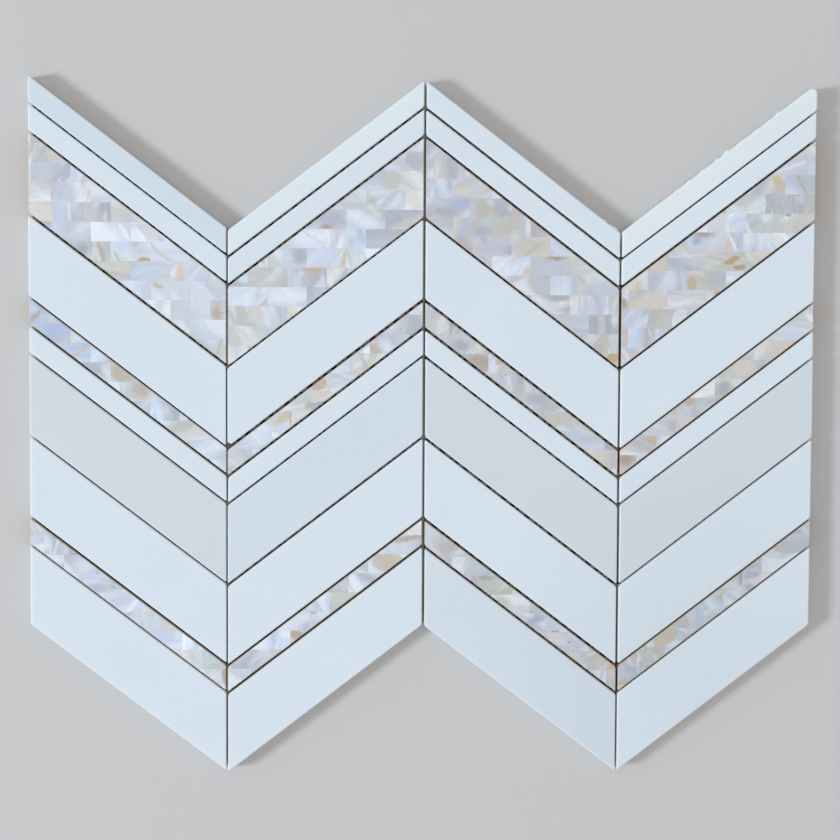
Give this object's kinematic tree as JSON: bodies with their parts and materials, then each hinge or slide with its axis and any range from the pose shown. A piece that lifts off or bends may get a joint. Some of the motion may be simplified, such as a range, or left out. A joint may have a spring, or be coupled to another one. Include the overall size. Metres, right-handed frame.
{
  "type": "chevron wall tile",
  "caption": "Net-backed mosaic sheet of slanted white marble strips and mother-of-pearl strips, set in a zigzag with open joints.",
  "frame": {"origin": "under the middle of the sheet's bounding box, on the underside of the net", "axes": "+X runs across the four columns, +Y up the sheet as it hangs on the wall, +Z out of the polished face"},
  "size_m": [0.399, 0.3531, 0.0104],
  "materials": {
    "white_marble": "polished white marble, fine grained",
    "grey_marble": "polished white marble, a little greyer",
    "mother_of_pearl": "polished mother-of-pearl chips, iridescent",
    "chip_backing": "tan unglazed ceramic backing",
    "net_yarn": "resin-coated glass yarn net"
  },
  "bodies": {
    "root": {"marble_row_01_col_1": "white_marble", "marble_row_01_col_2": "white_marble", "marble_row_01_col_3": "white_marble", "marble_row_01_col_4": "white_marble", "marble_row_02_col_1": "white_marble", "marble_row_02_col_2": "white_marble", "marble_row_02_col_3": "white_marble", "marble_row_02_col_4": "white_marble", "marble_row_04_col_1": "white_marble", "marble_row_04_col_2": "white_marble", "marble_row_04_col_3": "white_marble", "marble_row_04_col_4": "white_marble", "marble_row_06_col_1": "white_marble", "marble_row_06_col_2": "white_marble", "marble_row_06_col_3": "white_marble", "marble_row_06_col_4": "white_marble", "marble_row_07_col_1": "grey_marble", "marble_row_07_col_2": "grey_marble", "marble_row_07_col_3": "grey_marble", "marble_row_07_col_4": "grey_marble", "marble_row_08_col_1": "white_marble", "marble_row_08_col_2": "white_marble", "marble_row_08_col_3": "white_marble", "marble_row_08_col_4": "white_marble", "marble_row_10_col_1": "white_marble", "marble_row_10_col_2": "white_marble", "marble_row_10_col_3": "white_marble", "marble_row_10_col_4": "white_marble", "net_warp": "net_yarn", "net_weft": "net_yarn", "shell_base_row_03_col_1": "chip_backing", "shell_base_row_03_col_2": "chip_backing", "shell_base_row_03_col_3": "chip_backing", "shell_base_row_03_col_4": "chip_backing", "shell_base_row_05_col_1": "chip_backing", "shell_base_row_05_col_2": "chip_backing", "shell_base_row_05_col_3": "chip_backing", "shell_base_row_05_col_4": "chip_backing", "shell_base_row_09_col_1": "chip_backing", "shell_base_row_09_col_2": "chip_backing", "shell_base_row_09_col_3": "chip_backing", "shell_base_row_09_col_4": "chip_backing", "shell_chips_row_03_col_1": "mother_of_pearl", "shell_chips_row_03_col_2": "mother_of_pearl", "shell_chips_row_03_col_3": "mother_of_pearl", "shell_chips_row_03_col_4": "mother_of_pearl", "shell_chips_row_05_col_1": "mother_of_pearl", "shell_chips_row_05_col_2": "mother_of_pearl", "shell_chips_row_05_col_3": "mother_of_pearl", "shell_chips_row_05_col_4": "mother_of_pearl", "shell_chips_row_09_col_1": "mother_of_pearl", "shell_chips_row_09_col_2": "mother_of_pearl", "shell_chips_row_09_col_3": "mother_of_pearl", "shell_chips_row_09_col_4": "mother_of_pearl"}
  },
  "joints": []
}
